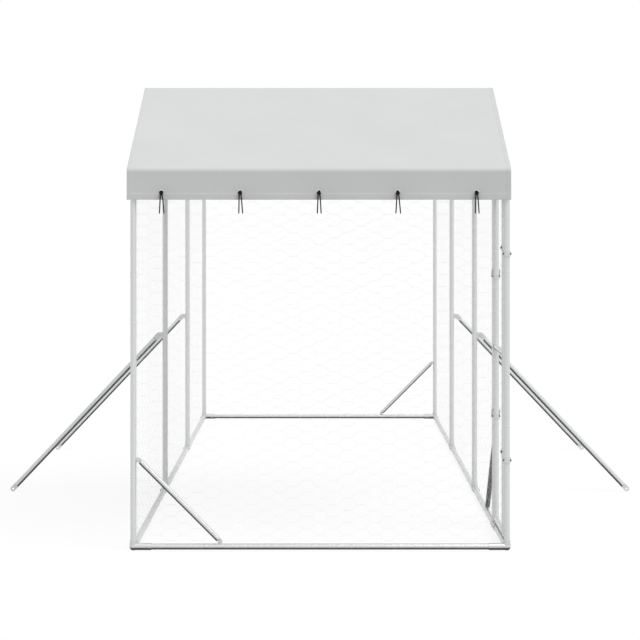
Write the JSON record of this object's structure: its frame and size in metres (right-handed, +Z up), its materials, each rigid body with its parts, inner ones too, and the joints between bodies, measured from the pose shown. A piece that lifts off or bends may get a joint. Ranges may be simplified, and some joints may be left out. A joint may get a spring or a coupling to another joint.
{
  "type": "outdoor dog kennel run",
  "caption": "Walk-in dog run of galvanised tube with wire netting walls, a hinged side door with fork latches, folding ground stays and a tied cloth roof over its front bay.",
  "frame": {"origin": "on the ground, at the middle of the run's length and width", "axes": "+X to the right seen from the roofed front end, +Y from the front to the back, +Z up"},
  "size_m": [3.933, 6.0355, 2.5024],
  "materials": {
    "tube": "galvanised",
    "fitting": "galvanised",
    "hardware": "zinc plated, dull",
    "netting": "galvanised wire",
    "cover": "coated woven sheet",
    "eyelet": "nickel plated",
    "cord": "black braided",
    "cap": "moulded"
  },
  "bodies": {
    "frame": {"corner_posts": "tube", "middle_posts": "tube", "door_post": "tube", "front_bottom_rail": "tube", "back_bottom_rail": "tube", "left_bottom_rails": "tube", "right_bottom_rails": "tube", "front_eave_rail": "tube", "rear_eave_rail": "tube", "middle_cross_rail": "tube", "back_top_rail": "tube", "left_top_rails": "tube", "right_top_rails": "tube", "ridge_rail": "tube", "front_rafters": "tube", "rear_rafters": "tube", "bottom_corner_fittings": "fitting", "bottom_tee_fittings": "fitting", "eave_fittings": "fitting", "top_tee_fittings": "fitting", "back_top_fittings": "fitting", "ridge_fittings": "fitting", "fitting_screws": "fitting", "front_brace": "tube", "back_brace": "tube", "side_brace": "tube", "brace_lugs": "fitting", "stay_lugs": "fitting", "lug_bolts": "fitting", "front_net": "netting", "back_net": "netting", "left_nets": "netting", "right_nets": "netting", "cover_front_valance": "cover", "cover_front_slope": "cover", "cover_rear_slope": "cover", "cover_rear_valance": "cover", "eyelets": "eyelet", "tie_loops": "cord", "tie_knots": "cord", "tie_tails": "cord", "hinge_pintles": "fitting", "pintle_bolts": "hardware"},
    "door": {"door_hinge_stile": "tube", "door_latch_stile": "tube", "door_top_rail": "tube", "door_mid_rail": "tube", "door_bottom_rail": "tube", "door_caps": "cap", "door_net": "netting", "hinge_eyes": "fitting", "latch_bands": "fitting", "door_bolts": "hardware"},
    "upper_latch": {"upper_latch": "fitting"},
    "lower_latch": {"lower_latch": "fitting"},
    "stay_left_near": {"stay_left_near": "tube"},
    "stay_right_near": {"stay_right_near": "tube"},
    "stay_left_far": {"stay_left_far": "tube"},
    "stay_right_far": {"stay_right_far": "tube"}
  },
  "joints": [
    {"name": "door_swing", "type": "hinge", "parent": "frame", "child": "door", "pos_m": [0.984, -2.93, 1], "axis": [0, 0, -1], "range_deg": [0, 110]},
    {"name": "upper_latch_turn", "type": "hinge", "parent": "door", "child": "upper_latch", "pos_m": [0.984, -2.365, 1.422], "axis": [-1, 0, 0], "range_deg": [0, 130]},
    {"name": "lower_latch_turn", "type": "hinge", "parent": "door", "child": "lower_latch", "pos_m": [0.984, -2.365, 0.64], "axis": [-1, 0, 0], "range_deg": [0, 130]},
    {"name": "stay_left_near_lift", "type": "hinge", "parent": "frame", "child": "stay_left_near", "pos_m": [-1.0235, -0.99467, 0.994], "axis": [0, 1, 0], "range_deg": [0, 110]},
    {"name": "stay_right_near_lift", "type": "hinge", "parent": "frame", "child": "stay_right_near", "pos_m": [1.0235, -0.99467, 0.994], "axis": [0, -1, 0], "range_deg": [0, 110]},
    {"name": "stay_left_far_lift", "type": "hinge", "parent": "frame", "child": "stay_left_far", "pos_m": [-1.0235, 0.99467, 0.994], "axis": [0, 1, 0], "range_deg": [0, 110]},
    {"name": "stay_right_far_lift", "type": "hinge", "parent": "frame", "child": "stay_right_far", "pos_m": [1.0235, 0.99467, 0.994], "axis": [0, -1, 0], "range_deg": [0, 110]}
  ]
}
